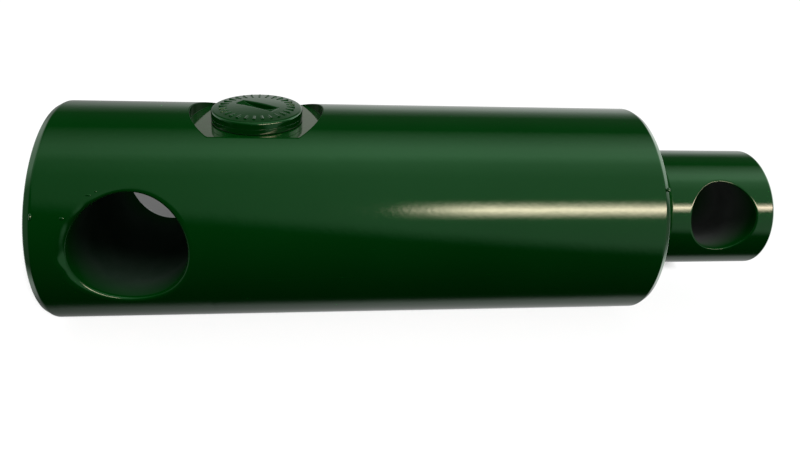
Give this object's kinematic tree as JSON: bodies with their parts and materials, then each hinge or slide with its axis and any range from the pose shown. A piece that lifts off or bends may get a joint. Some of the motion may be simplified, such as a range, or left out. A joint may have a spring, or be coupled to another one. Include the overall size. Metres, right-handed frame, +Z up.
{
  "type": "telescopic hydraulic cylinder",
  "caption": "Telescopic hydraulic cylinder, drawn in, with cross-drilled pin eyes at base and rod, a sunk port with a slotted screw plug, and sealed stages that slide and turn.",
  "frame": {"origin": "centre of the base pin bore, where its axis crosses the cylinder's axis", "axes": "+X along the cylinder towards the rod, +Y along the base pin bore, +Z up; the port leans 4 degrees from +Z towards -Y"},
  "size_m": [0.2714, 0.08, 0.0816],
  "materials": {
    "green_enamel": "dark green gloss enamel over steel",
    "ground_steel": "ground and hard chromed steel",
    "spring_steel": "blued spring steel",
    "bronze": "turned bronze",
    "band_resin": "cloth-filled resin strip",
    "backup_resin": "natural acetal",
    "seal_polyurethane": "moulded polyurethane",
    "wiper_rubber": "moulded black rubber",
    "o_ring_rubber": "oiled black rubber"
  },
  "bodies": {
    "barrel": {"base_block": "green_enamel", "barrel_tube": "green_enamel", "barrel_gland": "green_enamel", "gland_o_ring": "o_ring_rubber", "gland_guide_band": "band_resin", "gland_lip_seal": "seal_polyurethane", "gland_backup_ring": "backup_resin", "gland_wiper": "wiper_rubber"},
    "stage_guides": {"stage_guide_near": "bronze", "stage_guide_far": "bronze"},
    "stage": {"stage_tube": "ground_steel", "stage_snap_ring": "spring_steel", "stage_guide_band": "band_resin", "stage_lip_seal": "seal_polyurethane", "stage_backup_ring": "backup_resin", "stage_wiper": "wiper_rubber"},
    "rod_guides": {"rod_guide_near": "bronze", "rod_guide_far": "bronze"},
    "rod": {"rod": "green_enamel"},
    "plug_seal": {"port_seal": "green_enamel"},
    "plug": {"port_plug": "green_enamel"}
  },
  "joints": [
    {"name": "stage_slide", "type": "slide", "parent": "barrel", "child": "stage_guides", "axis": [1, 0, 0], "range_m": [0, 0.0566]},
    {"name": "stage_turn", "type": "hinge", "parent": "stage_guides", "child": "stage", "pos_m": [0.13, 0, 0], "axis": [1, 0, 0], "continuous": true},
    {"name": "rod_slide", "type": "slide", "parent": "stage", "child": "rod_guides", "axis": [1, 0, 0], "range_m": [0, 0.0684]},
    {"name": "rod_turn", "type": "hinge", "parent": "rod_guides", "child": "rod", "pos_m": [0.15, 0, 0], "axis": [1, 0, 0], "continuous": true},
    {"name": "plug_lift", "type": "slide", "parent": "barrel", "child": "plug_seal", "axis": [0, -0.0698, 0.9976], "range_m": [0, 0.0128]},
    {"name": "plug_turn", "type": "hinge", "parent": "plug_seal", "child": "plug", "pos_m": [0.0393, -0.00264, 0.03771], "axis": [0, -0.0698, 0.9976], "range_deg": [0, 2520]}
  ],
  "couplings": [
    {"joint": "plug_lift", "follows": "plug_turn", "m_per_rad": 0.00028875}
  ]
}
